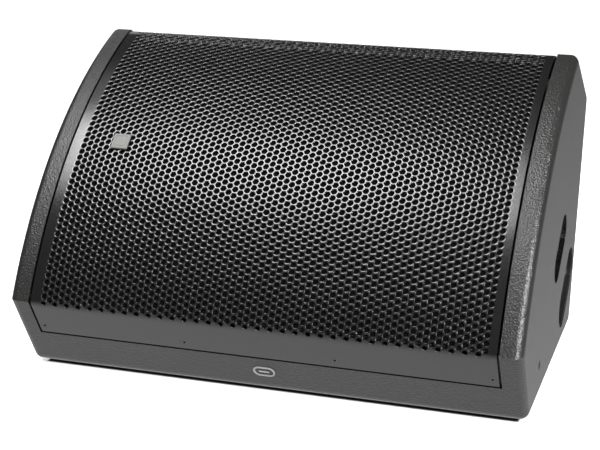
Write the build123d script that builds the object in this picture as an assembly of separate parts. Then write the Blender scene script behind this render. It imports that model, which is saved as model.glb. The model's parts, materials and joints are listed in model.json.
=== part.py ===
from build123d import *

import os
from math import asin, atan2, cos, radians, sin, sqrt, tan

# Stage monitor wedge: a low speaker cabinet that lies on its base and faces the performer.
# Millimetres. X runs across the cabinet (+X is its right when seen from the front), Y runs from the
# grille to the back, Z is up. The origin is on the floor, under the middle of the whole object.

# ---------------------------------------------------------------- driving dimensions
CABINET_WIDTH = 572.0
CABINET_DEPTH = 397.0
FOOT_HEIGHT = 5.0
SIDE_THICKNESS = 24.0        # birch plywood sides
PANEL_THICKNESS = 18.0       # every other plywood panel
BRACE_THICKNESS = 12.0
EDGE_ROUND = 9.5             # router radius round each side panel
CORNER_ROUND = 14.0          # radius along the cross edges
TOP_ROUND = 10.0             # radius along the top edge of the sides

# Profile of the cabinet, seen along X, as (y, z) corners before rounding.
FRONT_LEAN = radians(27.93)  # front rail leans out towards the performer
BACK_LEAN = radians(14.84)   # back panel leans back
FOLD = Vector(-CABINET_DEPTH / 2, 96.8)
FRONT_BOTTOM = Vector(FOLD.X + (FOLD.Y - FOOT_HEIGHT) * tan(FRONT_LEAN), FOOT_HEIGHT)
TOP = Vector(107.2, 339.2)
BACK_TOP = Vector(200.47, 270.3)
BACK_BOTTOM = Vector(BACK_TOP.X - (BACK_TOP.Y - FOOT_HEIGHT) * tan(BACK_LEAN), FOOT_HEIGHT)
GRILLE_ARC_RADIUS = 527.2    # the front from the fold to the top is one shallow arc

# Grille
SHEET = 1.5
FOLD_ROUND = 3.0
GRILLE_TOP_ROUND = 27.0      # the sheet bends over the top just below the sides
FLANGE_ZONE = 8.0            # deep enough to hold the sheet's bends
GRILLE_GAP = 2.5             # dark line all round the grille
LOWER_FLANGE = 49.2          # from the fold to the grille's lower edge
UPPER_FLANGE = 34.0          # from the top edge down the top panel
TAPE = 2.5                   # foam tape under both flanges
FOAM_THICKNESS = 5.0
FLANGE_SCREW_XS = (-253.0, -85.0, 85.0, 253.0)
FLANGE_SCREW_INSET = 11.0
BADGE_X = -200.3
BADGE_ANGLE = 128.3          # degrees about the arc's centre
EMBLEM_HEIGHT = 31.0         # up the front rail from its lower corner

# Baffle and the drivers on it
BAFFLE_SETBACK = 20.0        # from the chord of the arc to the baffle's front face
WOOFER_X = 98.0
HORN_X = -150.0
PORT_S = 131.0               # ports above and below the horn, along the baffle
BRACE_X = -58.0

WOOFER_FRAME_R = 156.0
WOOFER_CUTOUT_R = 142.0
CONE_R = 120.0
COIL_R = 38.0
MAGNET_R = 78.0
CONE_FRONT = 3.0             # cone's rim in front of the baffle

HORN_WIDTH = 158.0
HORN_HEIGHT = 178.0
HORN_DEPTH = 100.0
HORN_WALL = 4.0
THROAT_R = 12.7
HF_COIL_R = 22.3

PORT_R = 28.0
PORT_WALL = 2.5
PORT_LENGTH = 80.0

# Fittings in the sides
RECESS_SLANT = 36.5          # degrees; both oval recesses lean back, nearly along the front's chord
POLE_CENTRE = (29.8, 134.5)
POLE_BORE_R = 8.65           # tapping size of an M20 thread
POLE_BORE_LENGTH = 30.0
POLE_BOSS_R = 15.0
POLE_PLATE = 5.0
POLE_RECESS_R = 19.6
POLE_RECESS_SPAN = 46.6      # between the centres of a recess's two round ends
POLE_RECESS_DEPTH = 14.0
POLE_SCREW_SPREAD = 54.0
DISH_CENTRE = (85.9, 67.0)
DISH_SPAN = 54.2
DISH_RIM_R = 24.4
DISH_RIM_DEPTH = 4.0
DISH_WAIST_R = 21.6          # narrower behind the side, to clear the back panel
DISH_WAIST_DEPTH = 22.0
DISH_FLOOR_R = 21.2
DISH_DEPTH = 46.0
DISH_WALL = 2.5
DISH_INSET = 1.5
SOCKET_LOWER_X = -24.5       # along the dish, from its centre
SOCKET_UPPER_X = 6.0
SOCKET_R = 11.8
SOCKET_FLANGE_R = 14.0
SELECTOR_X = 34.0
SELECTOR_HOLE_R = 4.0
INSERT_CENTRE = (-90.6, 44.2)
INSERT_R = 5.5
INSERT_BORE_R = 3.4          # tapping size of an M8 thread
INSERT_LENGTH = 18.0
HANDLE_CENTRE = (32.0, 105.0)
HANDLE_LENGTH = 150.0
HANDLE_HEIGHT = 90.0
HANDLE_DEPTH = 62.0

FOOT_R = 16.0
FOOT_PLACES = [(x, y) for x in (-232.0, 232.0) for y in (-118.0, 96.0)]

HALF_WIDTH = CABINET_WIDTH / 2
INNER_X = HALF_WIDTH - SIDE_THICKNESS
GRILLE_HALF = INNER_X - GRILLE_GAP
PLUG_VOLUME = 20.0          # smaller pieces left by a cut are plugs in a screw's recess


# ---------------------------------------------------------------- profile geometry
def unit(start, end):
    return (end - start).normalized()


def inward(start, end):
    """Unit normal to the left of start-end; the profile's corners run so that this points inside."""
    step = unit(start, end)
    return Vector(-step.Y, step.X)


def plank(start, end, depth, before=0.0, after=0.0):
    """Quadrilateral of a panel whose outer face runs from start to end."""
    step, normal = unit(start, end), inward(start, end)
    first, last = start - step * before, end + step * after
    corners = [first, last, last + normal * depth, first + normal * depth]
    return make_face(Polyline(*corners, close=True))


def arc_centre():
    """Centre of the front arc, which passes through the fold and the top."""
    middle = (FOLD + TOP) * 0.5
    half = (TOP - FOLD).length / 2
    chord = unit(FOLD, TOP)
    behind = Vector(chord.Y, -chord.X)
    return middle + behind * sqrt(GRILLE_ARC_RADIUS**2 - half**2)


CENTRE = arc_centre()
CHORD = unit(FOLD, TOP)
BEHIND = Vector(CHORD.Y, -CHORD.X)


def on_arc(angle, radius=GRILLE_ARC_RADIUS):
    """Point at an angle (radians, from +Y towards +Z) about the arc's centre."""
    return CENTRE + Vector(cos(angle), sin(angle)) * radius


def outline(top_round=TOP_ROUND, fold_round=0.0):
    """Closed outer profile with its corners rounded."""
    middle = on_arc((angle_of(FOLD) + angle_of(TOP)) / 2)
    edges = [
        Line(FRONT_BOTTOM, BACK_BOTTOM),
        Line(BACK_BOTTOM, BACK_TOP),
        Line(BACK_TOP, TOP),
        ThreePointArc(TOP, middle, FOLD),
        Line(FOLD, FRONT_BOTTOM),
    ]
    face = make_face(Curve() + edges)
    for corner in (FRONT_BOTTOM, BACK_BOTTOM, BACK_TOP):
        face = fillet(nearest_vertex(face, corner), CORNER_ROUND)
    face = fillet(nearest_vertex(face, TOP), top_round)
    if fold_round:
        face = fillet(nearest_vertex(face, FOLD), fold_round)
    return face


def angle_of(point):
    return atan2(point.Y - CENTRE.Y, point.X - CENTRE.X)


def nearest_vertex(face, point):
    return min(face.vertices(), key=lambda v: (Vector(v.X, v.Y) - point).length)


def across(face, low, high):
    """Extrudes a profile face along X from low to high."""
    placed = Plane.YZ.offset(low) * face
    return extrude(placed, amount=high - low)


def baffle_point(s, d):
    """Profile point at s along the baffle (0 at its middle) and d behind the chord."""
    return (FOLD + TOP) * 0.5 + CHORD * s + BEHIND * d


def on_baffle(x, s=0.0):
    """Frame on the baffle's front face: local Z points out to the listener, local X along world X."""
    spot = baffle_point(s, BAFFLE_SETBACK)
    plane = Plane(origin=(x, spot.X, spot.Y), x_dir=(1, 0, 0), z_dir=(0, -BEHIND.X, -BEHIND.Y))
    return plane.location


def on_right(centre, depth=0.0):
    """Frame on the right side's outer face, depth below it: local Z points out along +X."""
    origin = (HALF_WIDTH - depth, centre[0], centre[1])
    return Plane(origin=origin, x_dir=(0, 1, 0), z_dir=(1, 0, 0)).location


def on_recess(centre, depth=0.0):
    """Frame on the right side turned along the slant of its oval recesses."""
    return on_right(centre, depth) * Rot(0, 0, RECESS_SLANT)


def on_left(centre, depth=0.0):
    """Frame on the left side's outer face, depth below it: local Z points out along -X."""
    origin = (-HALF_WIDTH + depth, centre[0], centre[1])
    return Plane(origin=origin, x_dir=(0, -1, 0), z_dir=(-1, 0, 0)).location


def on_slope(x, start, end, distance):
    """Frame on the outer face start-end, a distance from start: local Z points out of the cabinet."""
    step, normal = unit(start, end), inward(start, end)
    spot = start + step * distance
    plane = Plane(origin=(x, spot.X, spot.Y), x_dir=(1, 0, 0), z_dir=(0, -normal.X, -normal.Y))
    return plane.location


# ---------------------------------------------------------------- small solids
def turned(*points):
    """Solid of revolution about local Z from (radius, height) points."""
    return revolve(Plane.XZ * make_face(Polyline(*points, close=True)), Axis.Z)


def disc(radius, low, high):
    return Pos(0, 0, low) * extrude(Circle(radius), amount=high - low)


def ring(outer, inner, low, high):
    return Pos(0, 0, low) * extrude(Circle(outer) - Circle(inner), amount=high - low)


def oval(radius, span, low, high):
    """Block with two round ends, whose centres are a span apart along local X."""
    return Pos(0, 0, low) * extrude(SlotCenterToCenter(span, 2 * radius), amount=high - low)


def rounded_block(length, width, radius, low, high):
    return Pos(0, 0, low) * extrude(RectangleRounded(length, width, radius), amount=high - low)


def around(count, radius, start=0.0):
    """Places on a circle, evenly spaced."""
    return PolarLocations(radius, count, start_angle=start)


def pan_screw(head_r, head_h, shank_r, length):
    """Pan-head screw: its seat is at z = 0 and its shank goes down."""
    head = turned((0, 0), (head_r, 0), (head_r, head_h * 0.45), (head_r * 0.62, head_h), (0, head_h))
    drive = extrude(Pos(0, 0, head_h * 0.45) * RegularPolygon(head_r * 0.45, 6), amount=head_h)
    return head - drive + disc(shank_r, -length, 0)


def flush_screw(head_r, head_h, shank_r, length):
    """Countersunk screw: its flat head is level with z = 0."""
    body = turned((0, 0), (head_r, 0), (shank_r, -head_h), (shank_r, -length), (0, -length))
    return body - extrude(Pos(0, 0, -head_h * 0.7) * RegularPolygon(head_r * 0.5, 6), amount=head_h)


def group(pieces):
    """Several separate solids as one node."""
    return Compound(children=[solid for piece in pieces for solid in piece.solids()])


def cut(host, *tools):
    """Host less its tools, without the plugs that a screw's drive recess leaves in it."""
    for tool in tools:
        host = host - tool.solids()
    return group([solid for solid in host.solids() if solid.volume > PLUG_VOLUME])


def bowl(radius, rise, rim, wall):
    """Thin spherical dome about local Z: its rim is at height rim, and a negative rise points down."""
    caps = []
    for r, top in ((radius, rise), (radius - wall, rise - wall * (1 if rise > 0 else -1))):
        ball = (r * r + top * top) / (2 * abs(top))
        sign = 1 if rise > 0 else -1
        half = asin(r / ball) / 2
        middle = (ball * sin(half), rim + sign * (ball * cos(half) - ball) + top)
        arc = ThreePointArc((0, rim + top), middle, (r, rim))
        caps.append(make_face(Curve() + [arc, Line((r, rim), (0, rim)), Line((0, rim), (0, rim + top))]))
    return revolve(Plane.XZ * (caps[0] - caps[1]), Axis.Z)


# ---------------------------------------------------------------- fasteners
def flange_screws():
    """Countersunk screws through the grille's two flanges."""
    screws = []
    for x in FLANGE_SCREW_XS:
        lower = on_slope(x, FOLD, FRONT_BOTTOM, LOWER_FLANGE - FLANGE_SCREW_INSET)
        upper = on_slope(x, BACK_TOP, TOP, (TOP - BACK_TOP).length - UPPER_FLANGE + FLANGE_SCREW_INSET)
        screws += [place * flush_screw(3.6, 2.2, 1.9, 14.0) for place in (lower, upper)]
    return group(screws)


def ring_screws(place, count, radius, seat, start, screw):
    return [place * spot * Pos(0, 0, seat) * screw for spot in around(count, radius, start)]


def block_screws(place, dx, dy, seat, screw):
    return [place * spot * Pos(0, 0, seat) * screw for spot in GridLocations(dx, dy, 2, 2)]


# ---------------------------------------------------------------- cabinet
def grille_zone(depth, lower_extra=0.0, upper_extra=0.0):
    """Profile region that the grille covers, down to a depth below the outer surface."""
    lower = plank(FOLD, FRONT_BOTTOM, depth, 0.0, LOWER_FLANGE + lower_extra - (FRONT_BOTTOM - FOLD).length)
    upper_start = BACK_TOP + unit(BACK_TOP, TOP) * ((TOP - BACK_TOP).length - UPPER_FLANGE - upper_extra)
    upper = plank(upper_start, TOP, depth)
    return lower, upper


def sheet_profile(depth=0.0):
    """The cabinet's profile with the grille's own bends, shrunk by a depth."""
    profile = outline(GRILLE_TOP_ROUND, FOLD_ROUND)
    return offset(profile, -depth, kind=Kind.INTERSECTION) if depth else profile


def whole_panels():
    """Plywood panels between the two sides, as profile faces before their rebates."""
    whole = outline()
    bottom = plank(FRONT_BOTTOM, BACK_BOTTOM, PANEL_THICKNESS) & whole
    rail = (plank(FOLD, FRONT_BOTTOM, PANEL_THICKNESS) & whole) - bottom
    back = (plank(BACK_BOTTOM, BACK_TOP, PANEL_THICKNESS, 20, 20) & whole) - bottom
    top = (plank(BACK_TOP, TOP, PANEL_THICKNESS) & whole) - back
    lift = baffle_point(0, BAFFLE_SETBACK)
    reach = CABINET_DEPTH
    strip = plank(lift + CHORD * reach, lift - CHORD * reach, PANEL_THICKNESS)
    behind_rail = plank(FOLD, FRONT_BOTTOM, PANEL_THICKNESS, 30, 30)
    behind_top = plank(BACK_TOP, TOP, PANEL_THICKNESS, 30, 30)
    baffle = (strip & whole) - behind_rail - behind_top - back - bottom
    return {
        "bottom_panel": bottom,
        "front_rail": rail,
        "back_panel": back,
        "top_panel": top,
        "baffle": baffle,
    }


def panels():
    """The same faces with the rebates that let the grille's flanges in flush."""
    faces = whole_panels()
    lower, upper = grille_zone(FLANGE_ZONE, GRILLE_GAP, GRILLE_GAP)
    behind_tape = sheet_profile(SHEET + TAPE)
    faces["front_rail"] = faces["front_rail"] - (lower - behind_tape)
    faces["top_panel"] = faces["top_panel"] - (upper - behind_tape)
    return faces


def side_panel(sign):
    """Plywood side whose outer perimeter is rounded over."""
    low, high = (INNER_X, HALF_WIDTH) if sign > 0 else (-HALF_WIDTH, -INNER_X)
    panel = across(outline(), low, high)
    outer_face = panel.faces().sort_by(Axis.X)[-1 if sign > 0 else 0]
    return fillet(outer_face.edges(), EDGE_ROUND)


def inner_brace():
    """Upright brace between the woofer and the horn, with a large window."""
    inside = outline()
    for face in whole_panels().values():
        inside = inside - face
    keep = plank(baffle_point(400, BAFFLE_SETBACK + PANEL_THICKNESS),
                 baffle_point(-400, BAFFLE_SETBACK + PANEL_THICKNESS), 400)
    room = inside & keep
    window = Pos(38.0, 118.0) * Circle(58.0)
    brace = room - window
    return across(brace, BRACE_X - BRACE_THICKNESS / 2, BRACE_X + BRACE_THICKNESS / 2)


def rubber_feet():
    foot = turned((6, 0), (FOOT_R - 1.5, 0), (FOOT_R, 1.5), (FOOT_R - 1, FOOT_HEIGHT), (2.2, FOOT_HEIGHT),
                  (2.2, 2.6), (6, 2.6))
    return group([Pos(x, y, 0) * foot for x, y in FOOT_PLACES])


def foot_screws():
    screw = turned((0, 0.8), (4.6, 0.8), (5.2, 2.6), (2.2, 2.6), (2.2, 17.0), (0, 17.0))
    screw = screw - Pos(0, 0, 0.8) * extrude(RegularPolygon(2.2, 6), amount=1.0)
    return group([Pos(x, y, 0) * screw for x, y in FOOT_PLACES])


# ---------------------------------------------------------------- grille
def grille():
    """Curved steel sheet with a lower flange on the rail and a short flange over the top."""
    lower, upper = grille_zone(FLANGE_ZONE)
    front = plank(TOP, FOLD, 90.0)
    bulge = make_face(Curve() + [
        Line(TOP, FOLD),
        ThreePointArc(FOLD, on_arc((angle_of(FOLD) + angle_of(TOP)) / 2), TOP),
    ])
    zone = lower + upper + bulge + front
    sheet = (sheet_profile() - sheet_profile(SHEET)) & zone
    return across(sheet, -GRILLE_HALF, GRILLE_HALF)


def grille_foam():
    """Open-cell foam sheet just behind the perforated part of the grille."""
    outer_r = GRILLE_ARC_RADIUS - SHEET - 0.3
    inner_r = outer_r - FOAM_THICKNESS
    first, last = angle_of(FOLD) - radians(1.6), angle_of(TOP) + radians(2.4)
    middle = (first + last) / 2
    face = make_face(Curve() + [
        ThreePointArc(on_arc(first, outer_r), on_arc(middle, outer_r), on_arc(last, outer_r)),
        Line(on_arc(last, outer_r), on_arc(last, inner_r)),
        ThreePointArc(on_arc(last, inner_r), on_arc(middle, inner_r), on_arc(first, inner_r)),
        Line(on_arc(first, inner_r), on_arc(first, outer_r)),
    ])
    return across(face, -GRILLE_HALF + 2, GRILLE_HALF - 2)


def grille_tape():
    """Foam tape that seats the two flanges, so that the sheet doesn't buzz."""
    strips = []
    for face, outer in zip(grille_zone(SHEET + TAPE), grille_zone(SHEET)):
        strips.append(across(face - outer, -GRILLE_HALF, GRILLE_HALF))
    lower = on_slope(0, FOLD, FRONT_BOTTOM, 0)
    upper = on_slope(0, BACK_TOP, TOP, (TOP - BACK_TOP).length)
    ends = [lower * Box(2 * HALF_WIDTH, 16, 16), upper * Box(2 * HALF_WIDTH, 29, 29)]
    return group([strip - end for strip, end in zip(strips, ends)])


def grille_badge():
    """Blank square plate with bevelled edges, on one peg through the grille."""
    angle = radians(BADGE_ANGLE)
    spot = on_arc(angle)
    plane = Plane(origin=(BADGE_X, spot.X, spot.Y), x_dir=(1, 0, 0), z_dir=(0, cos(angle), sin(angle)))
    plate = chamfer(extrude(Rectangle(20, 20), amount=1.8).faces().sort_by(Axis.Z)[-1].edges(), 0.6)
    inset = Pos(0, 0, 1.5) * extrude(Rectangle(14, 14) - Rectangle(12.6, 12.6), amount=1)
    return plane.location * (Pos(0, 0, 1.2) * (plate - inset) + disc(2.6, -SHEET, 1.2))


def rail_emblem():
    """Plain pill-shaped outline on the front rail."""
    pill = SlotOverall(25, 15) - SlotOverall(21, 11)
    bar = Rectangle(12, 2.2)
    distance = (FRONT_BOTTOM - FOLD).length - EMBLEM_HEIGHT
    raised = group([extrude(pill, amount=0.8), extrude(bar, amount=0.8)])
    return on_slope(0, FOLD, FRONT_BOTTOM, distance) * raised


# ---------------------------------------------------------------- woofer (local Z out, 0 at baffle front)
def woofer_basket():
    """Cast frame: mounting flange, six arms and a seat for the magnet."""
    shell = turned((WOOFER_FRAME_R, 0), (WOOFER_FRAME_R, 5), (WOOFER_FRAME_R - 2, 6.5), (139, 6.5), (139, 3),
                   (124, 3), (124, 0), (84, -52), (84, -60), (56, -60), (56, -66), (88, -66), (90, -54),
                   (138, -4), (141, 0))
    windows = []
    for spot in around(6, 0):
        wedge = Pos(100, 0, -34) * Box(70, 66, 40)
        windows.append(spot * wedge)
    return cut(shell, *windows)


def woofer_surround():
    """Half-roll rubber suspension between the cone's rim and the frame."""
    half = make_face(Curve() + [
        ThreePointArc((CONE_R + 0.3, CONE_FRONT), (129.3, CONE_FRONT + 8.5), (138.4, CONE_FRONT)),
        Line((138.4, CONE_FRONT), (137.0, CONE_FRONT)),
        ThreePointArc((137.0, CONE_FRONT), (129.3, CONE_FRONT + 7.1), (CONE_R + 1.7, CONE_FRONT)),
        Line((CONE_R + 1.7, CONE_FRONT), (CONE_R + 0.3, CONE_FRONT)),
    ])
    return revolve(Plane.XZ * (Pos(0, 0.2) * half), Axis.Z)


def woofer_spider():
    """Corrugated fabric centring disc, glued to the frame outside and to the coil inside."""
    inner, outer, waves, height = COIL_R + 1.2, 82.0, 6, 3.0
    top, pitch = [], (outer - inner) / (2 * waves)
    for i in range(2 * waves + 1):
        top.append((inner + i * pitch, -47.0 + (height if i % 2 else 0)))
    bottom = [(r, z - 1.2) for r, z in reversed(top)]
    seat = ring(83.8, outer, -51.8, -47.0)
    return turned(*top, *bottom) + seat


def woofer_cone():
    """Paper cone with a flared profile, open in the middle for the coil."""
    wall = 1.4
    face = make_face(Curve() + [
        ThreePointArc((CONE_R, CONE_FRONT), (84, -24), (COIL_R + 0.9, -40)),
        Line((COIL_R + 0.9, -40), (COIL_R + 0.9, -40 - wall * 1.6)),
        ThreePointArc((COIL_R + 0.9, -40 - wall * 1.6), (84, -24 - wall * 1.5), (CONE_R, CONE_FRONT - wall)),
        Line((CONE_R, CONE_FRONT - wall), (CONE_R, CONE_FRONT)),
    ])
    return revolve(Plane.XZ * face, Axis.Z)


def dust_cap():
    return bowl(COIL_R + 0.9, 12.0, -40.0, 1.0)


def woofer_coil():
    """Coil former with its winding in the magnet's gap."""
    former = ring(COIL_R, COIL_R - 0.6, -88, -40)
    winding = ring(COIL_R + 1.2, COIL_R, -83, -65)
    return former + winding


def woofer_parts():
    """All woofer pieces, keyed by node, with the screws last."""
    place = on_baffle(WOOFER_X)
    return {
        "woofer_basket": place * woofer_basket(),
        "woofer_gasket": place * ring(154, 140, 6.5, 9.5),
        "woofer_surround": place * woofer_surround(),
        "woofer_spider": place * woofer_spider(),
        "woofer_cone": place * woofer_cone(),
        "dust_cap": place * dust_cap(),
        "voice_coil": place * woofer_coil(),
        "woofer_top_plate": place * ring(MAGNET_R - 4, COIL_R + 2.2, -75, -66),
        "woofer_magnet": place * ring(MAGNET_R, 48, -95, -75),
        "woofer_back_plate": place * (ring(MAGNET_R - 4, 12, -104, -95) + ring(COIL_R - 1.6, 12, -95, -67)),
        "woofer_screws": group(ring_screws(place, 8, 147.5, 9.5, 22.5, pan_screw(4.4, 3.0, 2.4, 24.0))),
    }


# ---------------------------------------------------------------- horn and compression driver
def horn_form(extra):
    """Loft from the rectangular mouth to the round throat; extra thickens it all round."""
    mouth = RectangleRounded(HORN_WIDTH - 24 + 2 * extra, HORN_HEIGHT - 30 + 2 * extra, 14 + extra)
    middle = RectangleRounded(66 + 2 * extra, 74 + 2 * extra, 26 + extra)
    throat = Circle(THROAT_R + extra)
    return loft([mouth, Pos(0, 0, -HORN_DEPTH * 0.5) * middle, Pos(0, 0, -HORN_DEPTH) * throat])


def horn():
    body = horn_form(HORN_WALL) + rounded_block(HORN_WIDTH, HORN_HEIGHT, 10, 0, 5)
    body = body + ring(30, THROAT_R, -HORN_DEPTH, -HORN_DEPTH + 5)
    mouth = rounded_block(HORN_WIDTH - 24, HORN_HEIGHT - 30, 14, -0.01, 6)
    return cut(body, horn_form(0.0), mouth)


def hf_front_plate():
    """Front plate with the round throat and the pole that carries the phase plug."""
    return turned((THROAT_R, 0), (50, 0), (50, -9), (21.7, -9), (21.7, -29), (8, -29), (THROAT_R, -8))


def hf_diaphragm():
    """Metal dome with its coil in the gap."""
    return bowl(HF_COIL_R + 0.4, -9.0, -31.6, 0.4) + ring(HF_COIL_R + 0.4, HF_COIL_R, -31.6, -25)


def hf_back_cover():
    """Cup behind the diaphragm."""
    return turned((46, -31.6), (46, -46), (42, -50), (0, -50), (0, -47.5), (40, -47.5), (43, -45),
                  (43, -31.6))


def hf_parts():
    place = on_baffle(HORN_X)
    behind = place * Pos(0, 0, -HORN_DEPTH)
    screw = pan_screw(3.6, 2.4, 1.9, 20.0)
    return {
        "horn": place * horn(),
        "horn_screws": group(block_screws(place, HORN_WIDTH - 12, HORN_HEIGHT - 12, 5, screw)),
        "hf_front_plate": behind * hf_front_plate(),
        "hf_magnet": behind * ring(52, 28, -22, -9),
        "hf_rear_plate": behind * ring(48, HF_COIL_R + 1.0, -28, -22),
        "hf_diaphragm": behind * hf_diaphragm(),
        "hf_suspension": behind * ring(31, HF_COIL_R + 0.8, -31.6, -31.2),
        "hf_clamp_ring": behind * ring(46, 26, -31.2, -28),
        "hf_back_cover": behind * hf_back_cover(),
    }


def port_tubes():
    tube = ring(PORT_R + PORT_WALL, PORT_R, -PORT_LENGTH, -0.5) + ring(PORT_R + 6, PORT_R, 0, 2.0)
    tube = tube + ring(PORT_R + PORT_WALL, PORT_R, -0.5, 0)
    return group([on_baffle(HORN_X, s) * tube for s in (-PORT_S, PORT_S)])


# ---------------------------------------------------------------- connector dish
def dish_form(inset, mouth=0.0):
    """Tapered oval recess, inset from its outer wall, up to the height of its mouth."""
    levels = [
        (DISH_RIM_R, mouth),
        (DISH_RIM_R, -DISH_RIM_DEPTH),
        (DISH_WAIST_R, -DISH_WAIST_DEPTH),
        (DISH_FLOOR_R, inset - DISH_DEPTH),
    ]
    sections = [Pos(0, 0, height) * SlotCenterToCenter(DISH_SPAN, 2 * (r - inset)) for r, height in levels]
    return loft(sections, ruled=True)


def connector_dish():
    """Moulded dish, set just below the side's face, with cut-outs for its fittings."""
    floor = -DISH_DEPTH
    holes = [Pos(x, 0, floor) * disc(SOCKET_R, -5, 5) for x in (SOCKET_LOWER_X, SOCKET_UPPER_X)]
    holes.append(Pos(SELECTOR_X, 0, floor) * disc(SELECTOR_HOLE_R, -5, 5))
    return on_recess(DISH_CENTRE, DISH_INSET) * cut(dish_form(0.0), dish_form(DISH_WALL, 1.0), *holes)


def speaker_socket():
    """Round locking socket: flange, barrel and a keyed core with four contact slots."""
    barrel = ring(SOCKET_R, 10.2, -16, 0) + ring(SOCKET_FLANGE_R, 10.2, 0, 2.2) + disc(SOCKET_R, -18, -16)
    core = disc(4.8, -16, 0.5)
    slots = [spot * Pos(0, 0, -8) * extrude(Rectangle(2.4, 1.2), amount=9) for spot in around(4, 4.2, 45)]
    keys = [spot * Pos(0, 0, -3) * extrude(Rectangle(4, 3.4), amount=6) for spot in around(2, 10.6, 90)]
    return cut(barrel + core, *slots, *keys)


def dish_place(x):
    """Place on the dish's floor, a distance along it."""
    return on_recess(DISH_CENTRE, DISH_INSET + DISH_DEPTH - DISH_WALL) * Pos(x, 0, 0)


def selector_knob():
    """Two-position rotary selector with a driver slot and a pointer."""
    knob = turned((0, 0.4), (7.5, 0.4), (7.5, 4.5), (6.5, 5.5), (0, 5.5)) + disc(2.4, -8, 0.4)
    slot = Pos(0, 0, 3.9) * extrude(Rectangle(10, 1.6), amount=2)
    grip = [spot * extrude(Pos(0, 0, 1.5) * Circle(0.9), amount=5) for spot in around(12, 7.9)]
    return cut(knob, slot, *grip)


def selector_body():
    """Switch body behind the dish's floor, with the bearing of the knob's shaft."""
    shaft_hole_r = 2.46
    neck = ring(SELECTOR_HOLE_R, shaft_hole_r, -DISH_WALL, 0)
    return neck + ring(9.5, shaft_hole_r, -9, -DISH_WALL) + disc(9.5, -14, -9)


def connector_parts():
    return {
        "connector_dish": connector_dish(),
        "speaker_socket_lower": dish_place(SOCKET_LOWER_X) * speaker_socket(),
        "speaker_socket_upper": dish_place(SOCKET_UPPER_X) * speaker_socket(),
        "selector_knob": dish_place(SELECTOR_X) * selector_knob(),
        "selector_body": dish_place(SELECTOR_X) * selector_body(),
    }


# ---------------------------------------------------------------- pole cup, inserts and handle
def pole_cup():
    """Steel oval plate with a threaded blind boss for a pole, at the bottom of its recess."""
    plate = oval(POLE_RECESS_R - 0.8, POLE_RECESS_SPAN, 0, POLE_PLATE)
    boss = disc(POLE_BOSS_R, POLE_PLATE - POLE_BORE_LENGTH - 3.0, 0)
    bore = disc(POLE_BORE_R, POLE_PLATE - POLE_BORE_LENGTH, POLE_PLATE + 1.0)
    return on_recess(POLE_CENTRE, POLE_RECESS_DEPTH) * cut(plate + boss, bore)


def pole_cup_screws():
    place = on_recess(POLE_CENTRE, POLE_RECESS_DEPTH)
    spots = GridLocations(POLE_SCREW_SPREAD, 0, 2, 1)
    return group([place * spot * Pos(0, 0, POLE_PLATE) * pan_screw(4.4, 2.8, 2.2, 13.0) for spot in spots])


def threaded_inserts():
    """Blind threaded inserts in both sides, one each, for a bracket or a safety line."""
    floor = -INSERT_LENGTH
    insert = turned((INSERT_BORE_R, 0), (INSERT_R, 0), (INSERT_R, floor - 2), (0, floor - 2),
                    (0, floor), (INSERT_BORE_R, floor))
    return group([place(INSERT_CENTRE, 0.5) * insert for place in (on_right, on_left)])


def handle_tray():
    """Moulded pocket with a flange let into the side, flush with its face."""
    flange = rounded_block(HANDLE_LENGTH + 30, HANDLE_HEIGHT + 30, 24, -3, 0)
    outer = rounded_block(HANDLE_LENGTH, HANDLE_HEIGHT, 20, -HANDLE_DEPTH, -3)
    inner = rounded_block(HANDLE_LENGTH - 6, HANDLE_HEIGHT - 6, 17, -HANDLE_DEPTH + 3, 1)
    return cut(flange + outer, inner)


def handle_bar():
    """Rubber-covered grip bar across the pocket."""
    half = HANDLE_LENGTH / 2 - 3
    bar = Rot(0, 90, 0) * extrude(Ellipse(11, 13), amount=half, both=True)
    return Pos(0, 0, -17) * bar


def handle_parts():
    place = on_left(HANDLE_CENTRE)
    screw = flush_screw(3.6, 2.2, 1.9, 16.0)
    return {
        "handle_tray": place * handle_tray(),
        "handle_bar": place * handle_bar(),
        "handle_screws": group(block_screws(place, HANDLE_LENGTH + 6, HANDLE_HEIGHT + 6, 0, screw)),
    }


# ---------------------------------------------------------------- crossover, wiring and damping
LEAD_R = 2.0
BOARD_CENTRE = (100.0, -88.0)
BOARD_SIZE = (150.0, 66.0)
BOARD_BASE = FOOT_HEIGHT + PANEL_THICKNESS + 6.0
BOARD_TOP = BOARD_BASE + 1.6


def on_board(x, y):
    """Place on the board's upper face, from its centre."""
    return Pos(BOARD_CENTRE[0] + x, BOARD_CENTRE[1] + y, BOARD_TOP)


def crossover_parts():
    board = Pos(*BOARD_CENTRE, BOARD_BASE) * extrude(Rectangle(*BOARD_SIZE), amount=1.6)
    corners = GridLocations(BOARD_SIZE[0] - 12, BOARD_SIZE[1] - 12, 2, 2)
    stand = ring(4.0, 1.6, 0, 6.0)
    base = Pos(*BOARD_CENTRE, BOARD_BASE - 6.0)
    screw = pan_screw(3.0, 2.0, 1.6, 12.0)
    coil = ring(17, 9, 0, 16) + ring(19, 8.5, 16, 18) + ring(19, 8.5, -0.0, 1.5)
    capacitor = Pos(0, 0, 8.0) * Rot(0, 90, 0) * extrude(Circle(8.0), amount=16, both=True)
    resistor = Pos(0, 0, 4.5) * Box(24, 9, 9)
    return {
        "crossover_board": board,
        "board_standoffs": group([base * spot * stand for spot in corners]),
        "board_screws": group([Pos(*BOARD_CENTRE, BOARD_TOP) * spot * screw for spot in corners]),
        "crossover_coils": group([on_board(x, y) * coil for x, y in ((-40, 8), (42, 8))]),
        "crossover_capacitors": group([on_board(0, y) * capacitor for y in (-18, 2, 22)]),
        "crossover_resistors": group([on_board(x, -20) * resistor for x in (-44, 44)]),
    }


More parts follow.
